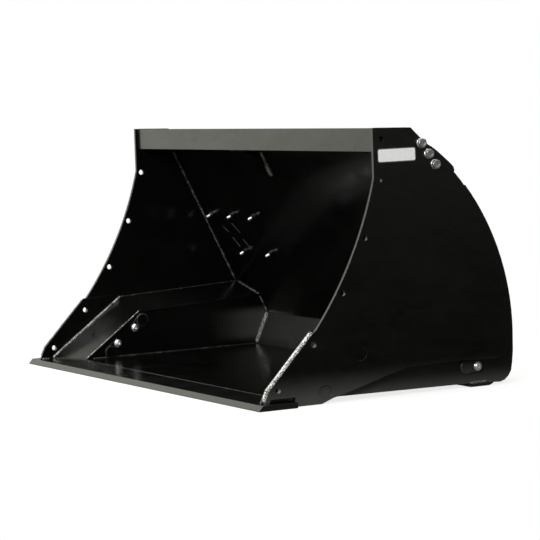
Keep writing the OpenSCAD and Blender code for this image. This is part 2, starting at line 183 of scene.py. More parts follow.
def paint(name, dark=0.0012, light=0.0022, r0=0.12, r1=0.24, peel=0.10, dust=0.012, painted_light_zone=None):
    """Gloss black enamel over welded plate: orange peel, roller bands, faint dust and handling marks."""
    m = Mat(name)
    m.set(IOR=1.5)
    big = m.noise(2.3, 4)
    col = m.mix(m.range(big, 0.35, 0.7, 0, 1), (dark, dark, dark * 0.93), (light, light, light * 0.92))
    specks = m.range(m.noise(420, 2, 0.7), 0.66, 0.74, 0, 1)
    film = m.range(m.noise(6.5, 6, 0.62, 0.4), 0.48, 0.78, 0, 1)
    d = m.math("MULTIPLY", m.math("ADD", m.math("MULTIPLY", specks, 0.35), m.math("MULTIPLY", film, 0.5)), dust)
    base = m.mix(d, col, (0.11, 0.105, 0.095))
    if painted_light_zone:        # painted light: a pale grey laid over the paint in one zone, standing in for floor reflection on the outer feet and for light falling on the heel and the tunnel walls: (axis, none here, most here, amount) in metres
        sep = m.t.nodes.new("ShaderNodeSeparateXYZ")
        m.t.links.new(m.tc.outputs["Object"], sep.inputs[0])
        f = m.range(sep.outputs[painted_light_zone[0]], painted_light_zone[1], painted_light_zone[2], 0.0, painted_light_zone[3], "SMOOTHSTEP")
        if len(painted_light_zone) == 4:
            # darker towards the floor: the painted light fades near the floor, to half on the heel and to nothing on
            # the walls, a painted shade in the corner
            f = m.math("MULTIPLY", f, m.range(sep.outputs["Z"], 0.028, 0.066, 0.0 if painted_light_zone[0] == "Y" else 0.5, 1.0, "SMOOTHSTEP"))
        else:       # painted floor reflection on the foot of the outer faces only
            f = m.math("MULTIPLY", f, m.range(m.math("ABSOLUTE", sep.outputs["X"], 0.0), 0.966, 0.972, 0.0, 1.0))
        if painted_light_zone[0] == "Y":
            # painted shadow under the tunnel roof: the painted light fades out towards the top of the wall
            f = m.math("MULTIPLY", f, m.range(sep.outputs["Z"], 0.185, 0.140, 0.0, 1.0, "SMOOTHSTEP"))
        # the painted-light grey, broken up a little by noise
        base = m.mix(m.math("MULTIPLY", f, m.range(m.noise(11, 5, 0.6), 0.25, 0.75, 0.8, 1.0)), base, (0.30, 0.295, 0.275))
    m.to("Base Color", base)
    smear = m.noise(5.0, 5, 0.6, 0.8, m.stretch(1, 1, 3.2))
    rough = m.math("ADD", m.range(smear, 0.3, 0.75, r0, r1), m.math("MULTIPLY", film, 0.05))
    m.to("Roughness", rough)
    peel_n = m.noise(340, 2, 0.5)
    wave = m.noise(26, 3, 0.5)
    n1 = m.bump(peel_n, peel, 0.0005)
    n2 = m.bump(wave, 0.06, 0.0035, n1)
    m.to("Normal", n2)
    return m.m


def weld_paint(name, bright=0.5, tone=0.42, metal=0.85, r0=0.14, r1=0.34, cut=0.47):
    """Painted weld bead: thin glossy paint over ripples, with pale, partly metallic flecks on the ripple crests as
    painted highlight for the glints along the bead.
    """
    m = Mat(name)
    m.set(IOR=1.5)
    sp = m.noise(260, 3, 0.6)
    sp2 = m.noise(38, 3, 0.6)
    # mask of the pale flecks: painted highlight on the crests
    f = m.math("MULTIPLY", m.range(sp, cut, cut + 0.09, 0, 1), m.range(sp2, 0.5 - 0.22 * bright, 0.62 - 0.1 * bright, 0, 1))
    m.to("Base Color", m.mix(f, (0.012, 0.012, 0.011), (tone, tone * 1.0, tone * 0.97)))
    m.to("Metallic", m.math("MULTIPLY", f, metal))
    m.to("Roughness", m.range(sp, 0.35, 0.65, r0, r1))
    m.to("Normal", m.bump(m.noise(620, 2, 0.6), 0.35, 0.0006))
    return m.m


def steel(name, c1, c2, r0, r1, scratch=(1, 1, 40), bump=0.12, oily=0.0):
    m = Mat(name)
    m.set(Metallic=1.0)
    brush = m.noise(60, 4, 0.6, 0, m.stretch(*scratch))
    blot = m.noise(14, 4, 0.6)
    m.to("Base Color", m.mix(m.range(blot, 0.3, 0.7, 0, 1), c1, c2))
    m.to("Roughness", m.range(brush, 0.3, 0.7, r0, r1))
    m.to("Normal", m.bump(brush, bump, 0.0004))
    return m.m


def zinc(name):
    """Bright zinc plating with the faint blue and straw tints of its passivation."""
    m = Mat(name)
    m.set(Metallic=1.0)
    tint = m.noise(70, 3, 0.6)
    c = m.mix(m.range(tint, 0.35, 0.65, 0, 1), (0.78, 0.83, 0.88), (0.88, 0.89, 0.84))
    spot = m.range(m.noise(520, 2, 0.6), 0.62, 0.7, 0, 1)
    m.to("Base Color", m.mix(m.math("MULTIPLY", spot, 0.45), c, (0.42, 0.43, 0.43)))
    m.to("Roughness", m.range(m.noise(180, 3, 0.6), 0.3, 0.7, 0.26, 0.44))
    m.to("Normal", m.bump(m.noise(700, 2, 0.6), 0.12, 0.0003))
    return m.m


def rubber(name):
    m = Mat(name)
    m.set(IOR=1.52)
    n = m.noise(220, 4, 0.65)
    m.to("Base Color", m.mix(m.range(m.noise(9, 4), 0.35, 0.7, 0, 1), (0.012, 0.012, 0.012), (0.03, 0.029, 0.027)))
    m.to("Roughness", m.range(n, 0.3, 0.7, 0.55, 0.8))
    m.to("Normal", m.bump(n, 0.25, 0.0006))
    return m.m


def vinyl(name, c, edge=False):
    """Label vinyl: satin film with a slight waviness where it follows the paint below."""
    m = Mat(name)
    m.set(IOR=1.48)
    n = m.noise(90, 3, 0.5)
    m.to("Base Color", m.mix(m.range(n, 0.35, 0.65, 0, 1), c, tuple(v * 0.94 for v in c)))
    m.to("Roughness", m.range(n, 0.3, 0.7, 0.28, 0.38))
    m.to("Normal", m.bump(m.noise(40, 2, 0.5), 0.08, 0.001))
    return m.m


MAT = {
    "shell": paint("shell_enamel"),
    # side and arm: painted floor reflection, a pale grey at the foot of the outer faces
    "side": paint("side_enamel", painted_light_zone=("Z", 0.122, -0.005, 0.185, "foot")),
    "arm": paint("arm_enamel", 0.0026, 0.0044, 0.15, 0.27, 0.12, 0.02, painted_light_zone=("Z", 0.072, -0.005, 0.16, "foot")),
    "frame": paint("frame_enamel", 0.0026, 0.0044, 0.15, 0.27, 0.12, 0.02),
    "edge": paint("edge_enamel", 0.0010, 0.0018, 0.16, 0.26, 0.10, 0.010),
    # heel and wall: painted light on the back plate below about 143 mm and on the lower rear of the tunnel walls,
    # with painted shadow under the tunnel roof
    "heel": paint("heel_enamel", 0.0009, 0.0016, 0.12, 0.22, 0.10, 0.008, painted_light_zone=("Z", 0.149, 0.143, 0.055)),
    "wall": paint("wall_enamel", 0.0009, 0.0016, 0.14, 0.24, 0.10, 0.010, painted_light_zone=("Y", 0.15, 0.50, 0.20)),
    "floor": paint("floor_enamel", 0.0007, 0.0012, 0.12, 0.22, 0.08, 0.005),
    # painted highlight: a much lighter enamel for the eased edge faces, standing in for the edges catching light
    "edge_highlight": paint("painted_edge_highlight_enamel", 0.034, 0.052, 0.22, 0.34, 0.10, 0.05),
    "lip": paint("lip_enamel", 0.0025, 0.0045, 0.18, 0.28, 0.10, 0.02),
    "cyl": paint("cylinder_enamel", 0.003, 0.005, 0.16, 0.26, 0.06, 0.015),
    "weld": weld_paint("weld_enamel", 0.35, 0.32),
    # the brighter bead finishes below carry more and paler flecks: painted highlight, palest on beads that sit in
    # shade
    "weld_bright": weld_paint("weld_highlight", 1.0, 0.62),
    "weld_highlight_dim": weld_paint("weld_highlight_dim", 0.7, 0.36),
    "weld_highlight_pale": weld_paint("weld_highlight_pale", 1.3, 0.86, 0.25, 0.30, 0.5, 0.465),
    "weld_corner": weld_paint("weld_corner", 1.4, 0.50, 0.4, 0.34, 0.6, 0.465),
    "weld_ramp": weld_paint("weld_ramp", 0.9, 0.62, 0.4, 0.26, 0.45, 0.49),
    "weld_dark": weld_paint("weld_plain", -0.4, 0.2),
    "nut": steel("nut_dark_zinc", (0.045, 0.045, 0.045), (0.075, 0.075, 0.072), 0.25, 0.4, (20, 20, 20)),
    "zinc": zinc("zinc_plating"),
    "pin": steel("pin_turned_steel", (0.20, 0.20, 0.195), (0.30, 0.30, 0.29), 0.24, 0.42, (1, 30, 30)),
    "gland": steel("gland_machined_steel", (0.26, 0.26, 0.25), (0.34, 0.34, 0.33), 0.2, 0.34, (30, 1, 1)),
    "chrome": steel("hard_chrome", (0.74, 0.75, 0.77), (0.80, 0.80, 0.81), 0.05, 0.10, (20, 1, 1), 0.02),
    "rubber": rubber("buffer_rubber"),
    "label": vinyl("label_white_film", (0.93, 0.93, 0.93)),
    "label_edge": vinyl("label_grey_line", (0.10, 0.10, 0.105)),
}


# ------------------------------------------------------------------ mesh helpers
def new_object(name, bm, body, mat, smooth=40, merge=True):
    if merge:
        bmesh.ops.remove_doubles(bm, verts=bm.verts, dist=1e-6)
    bmesh.ops.recalc_face_normals(bm, faces=bm.faces)
    me = bpy.data.meshes.new(name)
    bm.to_mesh(me)
    bm.free()
    for p in me.polygons:
        p.use_smooth = True
    me.set_sharp_from_angle(angle=smooth * D2R)
    ob = bpy.data.objects.new(name, me)
    scene.collection.objects.link(ob)
    me.materials.append(mat)
    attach(ob, body)
    return ob


def resample(path, step, closed=False):
    pts = [Vector(p) for p in path]
    if closed:
        pts.append(pts[0].copy())
    seg = [(pts[i + 1] - pts[i]).length for i in range(len(pts) - 1)]
    total = sum(seg)
    n = max(4, int(round(total / step)))
    out, info = [], []
    for k in range(n if closed else n + 1):
        s = total * k / n
        i, acc = 0, 0.0
        while i < len(seg) - 1 and acc + seg[i] < s:
            acc += seg[i]
            i += 1
        f = (s - acc) / seg[i] if seg[i] else 0
        out.append(pts[i].lerp(pts[i + 1], min(1, max(0, f))))
        info.append((s, i, min(1, max(0, f))))
    return out, info, total


def bead(bm, path, a, b, leg=7.0, pitch=6.5, step=2.2, closed=False, amp=0.13, seed=0.0, bulge=0.16, up=None, sunk=0.7, m=6):
    """One weld bead. a and b run from the root along the two plates; up makes a flat bead of half width leg."""
    pts, info, total = resample(path, step, closed)
    rings = []
    for p, (s, i, f) in zip(pts, info):
        va = (a(i, f) if callable(a) else Vector(a)).normalized()
        vb = (b(i, f) if callable(b) else Vector(b)).normalized()
        taper = 1.0
        if not closed:
            e = max(0.0, min(s, total - s))
            taper = 0.35 + 0.65 * min(1.0, e / (leg * 1.1)) ** 0.6
        nz = noise.noise(Vector((s * 0.045, seed, 3.1)))
        nz2 = noise.noise(Vector((s * 0.31, seed + 7, 1.7)))
        ring = []
        if up is None:
            ring.append(p - (va + vb) * sunk)
            ring.append(p + va * leg * taper * (1 + 0.08 * nz) - vb * sunk)
        else:
            vu = Vector(up).normalized()
            ring.append(p - vu * sunk)
            ring.append(p + va * leg * taper - vu * sunk)
        for k in range(m + 1):
            t = k / m
            u = s / pitch + 0.38 * (1 - (2 * t - 1) ** 2)
            sc = abs(math.sin(math.pi * u)) ** 0.8
            r = taper * (1 + amp * (sc - 0.5) * 2 * math.sin(math.pi * min(1, max(0, 0.08 + 0.84 * t))) + 0.09 * nz + 0.05 * nz2)
            if up is None:
                q = p + (va * (1 - t) + vb * t) * leg * r + (va + vb).normalized() * (bulge * leg * math.sin(math.pi * t) * r)
            else:
                ph = math.pi * t
                q = p + (va * math.cos(ph)) * leg * taper * (1 + 0.06 * nz) + vu * (bulge * leg * math.sin(ph) * (0.6 + 0.8 * sc) * r)
            ring.append(q)
        if up is None:
            ring.append(p + vb * leg * taper * (1 + 0.08 * nz) - va * sunk)
        else:
            ring.append(p - va * leg * taper - vu * sunk)
        rings.append([bm.verts.new(P(*q)) for q in ring])
    nr = len(rings)
    w = len(rings[0])
    for j in range(nr if closed else nr - 1):
        r0, r1 = rings[j], rings[(j + 1) % nr]
        for k in range(w):
            bm.faces.new((r0[k], r0[(k + 1) % w], r1[(k + 1) % w], r1[k]))
    if not closed:
        bm.faces.new(rings[0])
        bm.faces.new(list(reversed(rings[-1])))


def circle_bead(bm, centre, axis, e1, e2, r, leg, out=True, **kw):
    """A fillet round a tube: centre, unit vectors in its plane, axis the way the flange faces."""
    n = 40
    c, ax, e1, e2 = Vector(centre), Vector(axis), Vector(e1), Vector(e2)
    path = [c + (e1 * math.cos(2 * math.pi * k / n) + e2 * math.sin(2 * math.pi * k / n)) * r for k in range(n)]
    def radial(i, f):
        t = 2 * math.pi * (i + f) / n
        return (e1 * math.cos(t) + e2 * math.sin(t)) * (1 if out else -1)
    bead(bm, path, radial, ax, leg=leg, closed=True, m=4, step=3.0, **kw)


def mx(v, s):
    return (v[0] * s, v[1], v[2])


def lathe(bm, prof, origin, ax, e1, seg=32):
    """Turns [radius, height] points about ax."""
    o, ax, e1 = Vector(origin), Vector(ax).normalized(), Vector(e1).normalized()
    e2 = ax.cross(e1)
    rings = []
    for r, h in prof:
        if r < 1e-6:
            rings.append([bm.verts.new(P(*(o + ax * h)))])
        else:
            rings.append([bm.verts.new(P(*(o + ax * h + (e1 * math.cos(2 * math.pi * k / seg) + e2 * math.sin(2 * math.pi * k / seg)) * r))) for k in range(seg)])
    for r0, r1 in zip(rings, rings[1:]):
        if len(r0) == 1 and len(r1) == 1:
            continue
        for k in range(seg):
            k1 = (k + 1) % seg
            if len(r0) == 1:
                bm.faces.new((r0[0], r1[k], r1[k1]))
            elif len(r1) == 1:
                bm.faces.new((r0[k], r1[0], r0[k1]))
            else:
                bm.faces.new((r0[k], r1[k], r1[k1], r0[k1]))


def hex_r(t, af):
    """Radius of a hexagon of that width across flats at angle t."""
    w = (t + math.pi / 6) % (math.pi / 3) - math.pi / 6
    return af / 2 / math.cos(w)


def hex_head(bm, origin, ax, e1, af, h, bore=0.0, both=False, seg=48, turn=0.0, dish=0.0):
    """Hexagon head or nut with the 30 degree chamfer that leaves curved corners."""
    o, ax, e1 = Vector(origin), Vector(ax).normalized(), Vector(e1).normalized()
    e2 = ax.cross(e1)
    def pt(t, r, z):
        return P(*(o + ax * z + (e1 * math.cos(t + turn) + e2 * math.sin(t + turn)) * r))
    rc = af / 2 * 0.955
    tan30 = math.tan(30 * D2R)
    rows = []
    ts = [2 * math.pi * k / seg for k in range(seg)]
    if bore:
        rows.append([(bore, 0.8) for t in ts])
        rows.append([(bore + 0.9, 0.0) for t in ts])
    if both:
        rows.append([(rc, 0.0) for t in ts])
        rows.append([(hex_r(t, af), (hex_r(t, af) - rc) * tan30) for t in ts])
    else:
        rows.append([(hex_r(t, af), 0.0) for t in ts])
    rows.append([(hex_r(t, af), h - (hex_r(t, af) - rc) * tan30) for t in ts])
    rows.append([(rc, h) for t in ts])
    if bore:
        rows.append([(bore + 0.9, h) for t in ts])
        rows.append([(bore, h - 0.8) for t in ts])
    elif dish:
        rows.append([(rc * 0.62, h) for t in ts])
        rows.append([(rc * 0.54, h - dish) for t in ts])
    vs = [[bm.verts.new(pt(t, r, z)) for t, (r, z) in zip(ts, row)] for row in rows]
    for r0, r1 in zip(vs, vs[1:]):
        for k in range(seg):
            bm.faces.new((r0[k], r0[(k + 1) % seg], r1[(k + 1) % seg], r1[k]))
    if bore:
        for k in range(seg):
            bm.faces.new((vs[-1][k], vs[-1][(k + 1) % seg], vs[0][(k + 1) % seg], vs[0][k]))
    else:
        bm.faces.new(list(reversed(vs[-1])))
        bm.faces.new(vs[0])


def thread(bm, origin, ax, e1, r, pitch, z0, z1, seg=20, depth=None):
    """A threaded shank from z0 to z1 with a chamfered end at z1."""
    o, ax, e1 = Vector(origin), Vector(ax).normalized(), Vector(e1).normalized()
    e2 = ax.cross(e1)
    depth = depth or pitch * 0.55
    n = max(4, int((z1 - z0) / pitch * 6))
    rings = []
    for j in range(n + 1):
        z = z0 + (z1 - z0) * j / n
        end = min(1.0, (z1 - z) / (pitch * 0.9))
        row = []
        for k in range(seg):
            t = 2 * math.pi * k / seg
            ph = (z / pitch - k / seg) % 1.0
            d = depth * abs(2 * ph - 1) ** 1.15
            rr = r - d
            rr = rr * end + (r - depth * 1.15) * (1 - end)
            row.append(bm.verts.new(P(*(o + ax * z + (e1 * math.cos(t) + e2 * math.sin(t)) * rr))))
        rings.append(row)
    for r0, r1 in zip(rings, rings[1:]):
        for k in range(seg):
            bm.faces.new((r0[k], r0[(k + 1) % seg], r1[(k + 1) % seg], r1[k]))
    bm.faces.new(rings[0])
    bm.faces.new(list(reversed(rings[-1])))


def button_head(bm, origin, ax, e1, r=14.5, h=8.8, af=10.0, seg=48):
    """Button head with a hexagon socket."""
    o, ax, e1 = Vector(origin), Vector(ax).normalized(), Vector(e1).normalized()
    e2 = ax.cross(e1)
    ts = [2 * math.pi * k / seg for k in range(seg)]
    dome = [(r * 0.97, 0.0), (r, 0.5), (r, 1.8), (r * 0.975, 2.8)]
    for k in range(1, 8):
        a = k / 8 * 1.18
        dome.append((r * 0.975 * math.cos(a) ** 0.9 + 0.0, 2.8 + (h - 2.8) * math.sin(a) / math.sin(1.18)))
    rows = [[(q[0], q[1])] * seg for q in dome if q[0] > af * 0.66]
    rim = rows[-1][0][1]
    rows.append([(hex_r(t, af) * 1.08, rim + 0.15) for t in ts])
    rows.append([(hex_r(t, af), rim - 0.6) for t in ts])
    rows.append([(hex_r(t, af) * 0.99, h * 0.36) for t in ts])
    rows.append([(af * 0.30, h * 0.30)] * seg)
    rows.append([(0.6, h * 0.14)] * seg)
    vs = [[bm.verts.new(P(*(o + ax * z + (e1 * math.cos(t) + e2 * math.sin(t)) * rr))) for t, (rr, z) in zip(ts, row)] for row in rows]
    for r0, r1 in zip(vs, vs[1:]):
        for k in range(seg):
            bm.faces.new((r0[k], r0[(k + 1) % seg], r1[(k + 1) % seg], r1[k]))
    bm.faces.new(list(reversed(vs[-1])))
    bm.faces.new(vs[0])


def washer(bm, origin, ax, e1, ri, ro, h, seg=40):
    c = 0.35
    prof = [(ri, 0), (ro - c, 0), (ro, c), (ro, h - c), (ro - c, h), (ri + c, h), (ri, h - c), (ri, 0)]
    o, axv, e1v = Vector(origin), Vector(ax).normalized(), Vector(e1).normalized()
    e2 = axv.cross(e1v)
    rings = [[bm.verts.new(P(*(o + axv * z + (e1v * math.cos(2 * math.pi * k / seg) + e2 * math.sin(2 * math.pi * k / seg)) * r))) for k in range(seg)] for r, z in prof[:-1]]
    rings.append(rings[0])
    for r0, r1 in zip(rings, rings[1:]):
        for k in range(seg):
            bm.faces.new((r0[k], r0[(k + 1) % seg], r1[(k + 1) % seg], r1[k]))


def rounded(node, mat, body, w=1.0, seg=2, ang=32, edge_highlight=None):
    """The plate of a CAD node with its cut edges eased, as a torch-cut and ground plate has them."""
    src = N[node]
    bm = bmesh.new()
    bm.from_mesh(src.data)
    bmesh.ops.remove_doubles(bm, verts=bm.verts, dist=2e-5)
    bmesh.ops.dissolve_limit(bm, angle_limit=0.6 * D2R, verts=bm.verts, edges=bm.edges)
    es = [e for e in bm.edges if len(e.link_faces) == 2 and e.calc_face_angle(0) > ang * D2R]
    # with a second material the bevel faces get the lighter enamel, a painted highlight along the edges
    bmesh.ops.bevel(bm, geom=es, offset=w / 1000, segments=seg, profile=0.5, affect="EDGES", clamp_overlap=True, material=1 if edge_highlight else -1)
    me = bpy.data.meshes.new(node + "_eased")
    bm.to_mesh(me)
    bm.free()
    for p in me.polygons:
        p.use_smooth = True
    me.set_sharp_from_angle(angle=50 * D2R)
    ob = bpy.data.objects.new(node + "_eased", me)
    scene.collection.objects.link(ob)
    me.materials.append(mat)
    if edge_highlight:
        me.materials.append(edge_highlight)
    wn = ob.modifiers.new("normals", "WEIGHTED_NORMAL")
    wn.keep_sharp = True
    wn.weight = 100
    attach(ob, body)
    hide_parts(node)
    return ob


# ------------------------------------------------------------------ camera
az, el, roll = -62.76 * D2R, -4.3 * D2R, -2.43 * D2R
d = Vector((math.sin(az) * math.cos(el), math.cos(az) * math.cos(el), math.sin(el)))
r = Vector((math.cos(az), -math.sin(az), 0))
u = r.cross(d)
r2 = r * math.cos(roll) + u * math.sin(roll)
u2 = u * math.cos(roll) - r * math.sin(roll)
cam_data = bpy.data.cameras.new("camera")
cam_data.sensor_width = 36
cam_data.lens = 36 * 2553.5 / 540
cam_data.clip_end = 200
cam = bpy.data.objects.new("camera", cam_data)
scene.collection.objects.link(cam)
rot = Matrix((r2, u2, -d)).transposed().to_4x4()
rot.translation = Vector((8.6955, -4.4406, 1.1277))
cam.matrix_world = rot
scene.camera = cam

# ------------------------------------------------------------------ finishes of the CAD nodes
def dress(node, mat):
    me = N[node].data
    me.materials.clear()
    me.materials.append(mat)


for n in N:
    base = n.rsplit("_", 1)[0] if n.endswith(("_left", "_right")) else n
    key = {"barrel_tube": "cyl", "gland": "gland", "piston": "gland", "rod": "chrome", "rod_pin": "pin", "pivot_pin": "shell", "rod_pin_ends": "shell",
           "base_pin": "pin", "floor_plate": "floor", "buffer_pad": "rubber", "cutting_edge": "edge", "wear_strips": "edge", "skid_shoe": "edge", "top_beam": "lip",
           "stop_bolts": "zinc", "stop_nuts": "zinc", "buffer_bolts": "zinc", "buffer_nuts": "zinc", "pin_keeper_bolts": "zinc", "base_pin_bolts": "zinc"}.get(base)
    if key is None:
        key = "shell" if N[n]["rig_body"] == "bucket" else "frame"
    dress(n, MAT[key])

for node, body, key, slot, w in (
    [(f"side_plate_{s}", "bucket", "side", "shell_paint", 2.0) for s in ("left", "right")]
    + [(f"side_liner_{s}", "bucket", "shell", "shell_paint", 1.0) for s in ("left", "right")]
    + [(f"tunnel_wall_{s}", "bucket", "wall", "shell_paint", 0.8) for s in ("left", "right")]
    + [(f"tunnel_cover_{s}", "bucket", "shell", "shell_paint", 1.4) for s in ("left", "right")]
    + [("top_beam", "bucket", "lip", "shell_paint", 2.2), ("cutting_edge", "bucket", "edge", "edge_steel", 1.3), ("lip_gusset", "bucket", "shell", "shell_paint", 1.2),
       ("back_plate", "bucket", "heel", "shell_paint", 0.9), ("wear_strips", "bucket", "edge", "edge_steel", 1.0)]
    + [(f"stop_bracket_{s}", "bucket", "shell", "shell_paint", 1.0) for s in ("left", "right")]
    + [(f"pivot_pin_{s}", "bucket", "side", "shell_paint", 0.9) for s in ("left", "right")]
    + [(f"rod_pin_ends_{s}", "bucket", "side", "shell_paint", 0.9) for s in ("left", "right")]
    + [(f"arm_outer_{s}", "rear_frame", "arm", "frame_paint", 1.2) for s in ("left", "right")]
    + [(f"arm_inner_{s}", "rear_frame", "frame", "frame_paint", 1.0) for s in ("left", "right")]
    + [(f"arm_web_{s}", "rear_frame", "frame", "frame_paint", 0.8) for s in ("left", "right")]
    + [(f"frame_cap_{s}", "rear_frame", "frame", "frame_paint", 1.2) for s in ("left", "right")]
    + [(f"skid_shoe_{s}", "rear_frame", "edge", "edge_steel", 1.5) for s in ("left", "right")]
    + [(f"base_pin_{s}", "rear_frame", "side", "pin_steel", 0.8) for s in ("left", "right")]
    + [("upper_crossbeam", "rear_frame", "frame", "frame_paint", 4.0), ("lower_crossbeam", "rear_frame", "frame", "frame_paint", 3.5),
       ("quick_attach_plate", "rear_frame", "frame", "frame_paint", 1.2), ("quick_attach_shelf", "rear_frame", "frame", "frame_paint", 1.2),
       ("quick_attach_ribs", "rear_frame", "frame", "frame_paint", 1.0)]
):
    # side plates and pin ends get the painted edge highlight on their bevels
    rounded(node, MAT[key], body, w, edge_highlight=MAT["edge_highlight"] if node.startswith(("side_plate", "base_pin", "pivot_pin", "rod_pin_ends")) else None)

# ------------------------------------------------------------------ welds of the shell
NB = Vector((0, -1, -M1)).normalized()          # out of the back plate, into the mouth
NH = Vector((0, -1, M2)).normalized()           # out of the heel plate
UPB = Vector((0, -M1, 1)).normalized()
for s, side in ((-1, "left"), (1, "right")):
    # side plate to back plate
    bm = bmesh.new()
    z0 = zf(yend(980), 980) + 2
    bead(bm, [(988 * s, yb(z0), z0), (988 * s, yb(846), 846)], (-s, 0, 0), NB, leg=5.5, seed=1 + s)
    # back plate to tunnel roof, tunnel wall and heel
    bead(bm, [(980 * s, yend(980), zf(yend(980), 980)), (824 * s, yend(824), zf(yend(824), 824))], UPB, (0, -1, -0.05), leg=5.5, seed=3 + s)
    zt = zf(yend(828), 828) - 9
    bead(bm, [(828 * s, yb(zt), zt), (828 * s, BH[0], BH[1])], (-s, 0, 0), NB, leg=4, seed=5 + s)
    new_object(f"weld_back_{side}", bm, "bucket", MAT["weld"])
    bm = bmesh.new()
    # this bead sits in the shaded corner; its pale flecks are painted highlight
    bead(bm, [(828 * s, BH[0] - 1, BH[1] - 1), (828 * s, BF[0] + 2, 24)], (-s, 0, 0), NH, leg=9.5, pitch=8, amp=0.2, seed=7 + s, bulge=0.22)
    new_object(f"weld_corner_{side}", bm, "bucket", MAT["weld_corner"])
    bm = bmesh.new()
    # ramp to liner
    bead(bm, [(980 * s, yfoot(980, 20) + 4, zr(yfoot(980, 20) + 4, 980)), (980 * s, yfold(980), zf(yfold(980), 980))],
         (-s * 0.929, 0, -0.369), (0, -0.587, 0.81), leg=5.2, pitch=9.5, amp=0.3, seed=9 + s, bulge=0.3)
    # liner edge to side plate, outside
    # ramp to tunnel wall, along the outer corner
    r0, r1 = Vector((828 * s, yfoot(828, 20) + 6, 20 + 6 * 0.725)), Vector((828 * s, yfold(828) - 2, zf(yfold(828), 828) - 1.5))
    vu = Vector((-s * 0.707, -0.415, 0.572))
    bead(bm, [r0, r1], vu.cross((r1 - r0).normalized()), vu, leg=1.5, up=vu, bulge=0.45, step=3, m=4, pitch=7, amp=0.1, seed=12 + s, sunk=1.7)
    new_object(f"weld_ramp_{side}", bm, "bucket", MAT["weld_ramp"])
    bm = bmesh.new()
    bead(bm, [(988 * s, 15.5, 24), (988 * s, 32.6, 61), (988 * s, 123, 154.5), (988 * s, 214, 248.6)], (s, 0, 0), (0, -0.7204, 0.6935), leg=9.4, pitch=9, amp=0.22, seed=11 + s, bulge=0.3)
    # both sides take pale flecks, palest on the right: painted highlight
    new_object(f"weld_edge_{side}", bm, "bucket", MAT["weld_highlight_pale"] if s > 0 else MAT["weld_highlight_dim"])
    bm = bmesh.new()
    # roof to liner, ramp foot, floor to wall, liner to blade, beam to side plate
    bead(bm, [(980 * s, yfold(980) + 3, zf(yfold(980) + 3, 980)), (980 * s, yend(980) - 6, zf(yend(980) - 6, 980))], (-s * 0.95, 0, -0.313), (0, 0, 1), leg=2.6, step=3, m=4, seed=13 + s)
    bead(bm, [(979 * s, yfoot(979, 20), 20), (826 * s, yfoot(826, 20), 20)], (0, 0.81, 0.587), (0, -1, 0), leg=6, seed=15 + s)
    bead(bm, [(828 * s, 172, 20), (828 * s, 914, 20)], (-s, 0, 0), (0, 0, 1), leg=3.2, step=2.6, m=5, seed=17 + s)
    bead(bm, [(980 * s, 10, 20), (980 * s, 47, 20)], (-s, 0, 0), (0, 0, 1), leg=5, seed=19 + s)
    bead(bm, [(988 * s, 489, 857.5), (988 * s, 489, 937.5)], (-s, 0, 0), (0, -1, 0), leg=4.5, seed=21 + s, sunk=0.4) if False else None
    bead(bm, [(988 * s, 493, 857), (988 * s, 640, 848.6)], (-s, 0, 0), (0, -0.058, -1), leg=5.5, seed=23 + s)
    bead(bm, [(988 * s, 492, 938), (988 * s, 625, 933.2)], (-s, 0, 0), (0, 0, 1), leg=2.2, seed=24 + s, sunk=0.4)
    # underside of the side plate to the liner, and blade to side plate from below: switched off, this bead is not
    # drawn
    bead(bm, [(976 * s, 131, 0.6 + 20), (976 * s, 150, 20.6)], (-s, 0, 0), (0, 0, 1), leg=3, seed=25 + s) if False else None
    # outside of the back plate to the side plate
    bead(bm, [(988 * s, yo(700), 700), (988 * s, yo(230), 230)], (-s, 0, 0), -NB, leg=7, seed=27 + s)
    new_object(f"weld_plain_{side}", bm, "bucket", MAT["weld_dark"])

bm = bmesh.new()
bead(bm, [(-826, 125, 20), (826, 125, 20)], (0, -1, 0), (0, 1, 0), leg=3.0, up=(0, 0, 1), bulge=0.2, pitch=6, step=2.8, m=5, seed=31)
new_object("weld_blade_floor", bm, "bucket", MAT["weld_dark"])

bm = bmesh.new()
for sx in (-1, 1):
    x = -188 + 5 * sx
    bead(bm, [(x, yb(744), 744), (x, yb(846), 846)], (sx, 0, 0), NB, leg=7, amp=0.22, seed=33 + sx)
    bead(bm, [(x, 520, 855), (x, 640, 848.2)], (sx, 0, 0), (0, -0.058, -1), leg=5, seed=35 + sx)
# bright flecks on the gusset beads: painted highlight
new_object("weld_gusset", bm, "bucket", MAT["weld_bright"])

bm = bmesh.new()   # lip beam to back plate, under and above, and its closing seam
bead(bm, [(-984, 643.5, 847.8), (984, 643.5, 847.8)], (0, -1, 0.058), (0, M1, -1), leg=4.5, step=3.2, m=4, seed=37)
bead(bm, [(-984, yo(851), 851), (984, yo(851), 851)], (0, 0.6, 0.4), -UPB, leg=5, up=-NB, bulge=0.35, step=3.2, m=4, seed=38)
new_object("weld_lip", bm, "bucket", MAT["weld_dark"])

bm = bmesh.new()   # short diagonal beads where the stop pads' carriers are plug-welded through
for s in (-1, 1):
    for (xa, za, xb, zb) in ((762, 534, 722, 494), (726, 467, 688, 422), (859, 520, 828, 494), (817, 473, 784, 431)):
        pa, pb = Vector((xa * s, yb(za), za)), Vector((xb * s, yb(zb), zb))
        t = (pb - pa).normalized()
        side_v = t.cross(NB)
        bead(bm, [pa, pb], side_v, -side_v, leg=3.2, up=NB, bulge=0.4, pitch=5, amp=0.15, seed=40 + xa * 0.01)
new_object("weld_stitches", bm, "bucket", MAT["weld_dark"])

bm = bmesh.new()   # wear strips to the floor, stitched
for x in (-600, -200, 200, 600):
    for sx in (-1, 1):
        for k in range(6):
            y0 = 160 + k * 120
            bead(bm, [(x + 40 * sx, y0, 12), (x + 40 * sx, y0 + 50, 12)], (sx, 0, 0), (0, 0, -1), leg=6, step=3, m=4, seed=50 + k)
new_object("weld_strips", bm, "bucket", MAT["weld_dark"])

